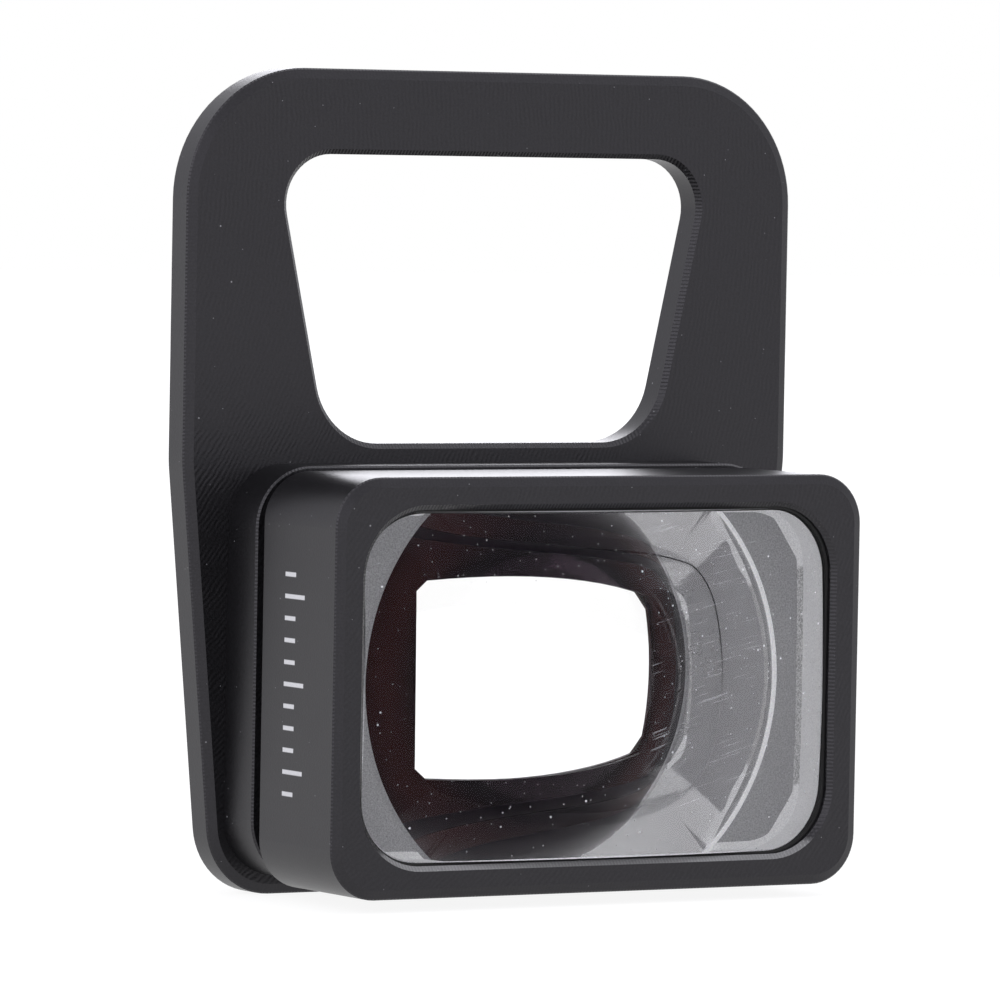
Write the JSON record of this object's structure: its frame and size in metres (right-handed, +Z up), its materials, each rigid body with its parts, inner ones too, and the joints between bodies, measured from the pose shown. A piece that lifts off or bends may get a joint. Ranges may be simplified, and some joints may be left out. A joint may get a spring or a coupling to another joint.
{
  "type": "wide-angle conversion lens",
  "caption": "Clip-on wide-angle conversion lens: low rectangular black lens box on a thin milled plate with an open trapezoid window above it.",
  "frame": {"origin": "bottom centre of the object's box, on the surface under the plate's foot, midway between the front glass and the springs' tips", "axes": "+X across the plate, to the right seen from the front; +Y from the front glass to the back of the plate; +Z up the plate. The optical axis lies along Y"},
  "size_m": [0.0362, 0.0176, 0.042],
  "materials": {
    "black_anodised": "fine milled, black anodised, satin",
    "blackened_metal": "matt black, blasted",
    "front_glass": "polished faces with ground grey sides",
    "rear_glass": "polished, coated",
    "sealing_bead": "black, satin",
    "seat_film": "matt black film",
    "black_rubber": "matt",
    "black_screw_steel": "black oxide",
    "frame_plastic": "fine grained black",
    "spring_steel": "bright rolled strip",
    "soft_pad": "soft matt foam"
  },
  "bodies": {
    "root": {"mount_plate": "black_anodised", "lens_housing": "black_anodised", "front_lens": "front_glass", "front_bond": "sealing_bead", "front_lens_seat": "seat_film", "light_baffle": "blackened_metal", "rear_lens_shim": "seat_film", "rear_lens": "rear_glass", "rear_cell": "blackened_metal", "groove_gasket": "black_rubber", "rear_light_seal": "black_rubber", "box_screws": "black_screw_steel", "rear_frame": "frame_plastic", "rear_frame_screws": "black_screw_steel", "left_spring_clip": "spring_steel", "right_spring_clip": "spring_steel", "clip_screws": "black_screw_steel", "upper_cushion": "soft_pad", "middle_cushion": "soft_pad"}
  },
  "joints": []
}
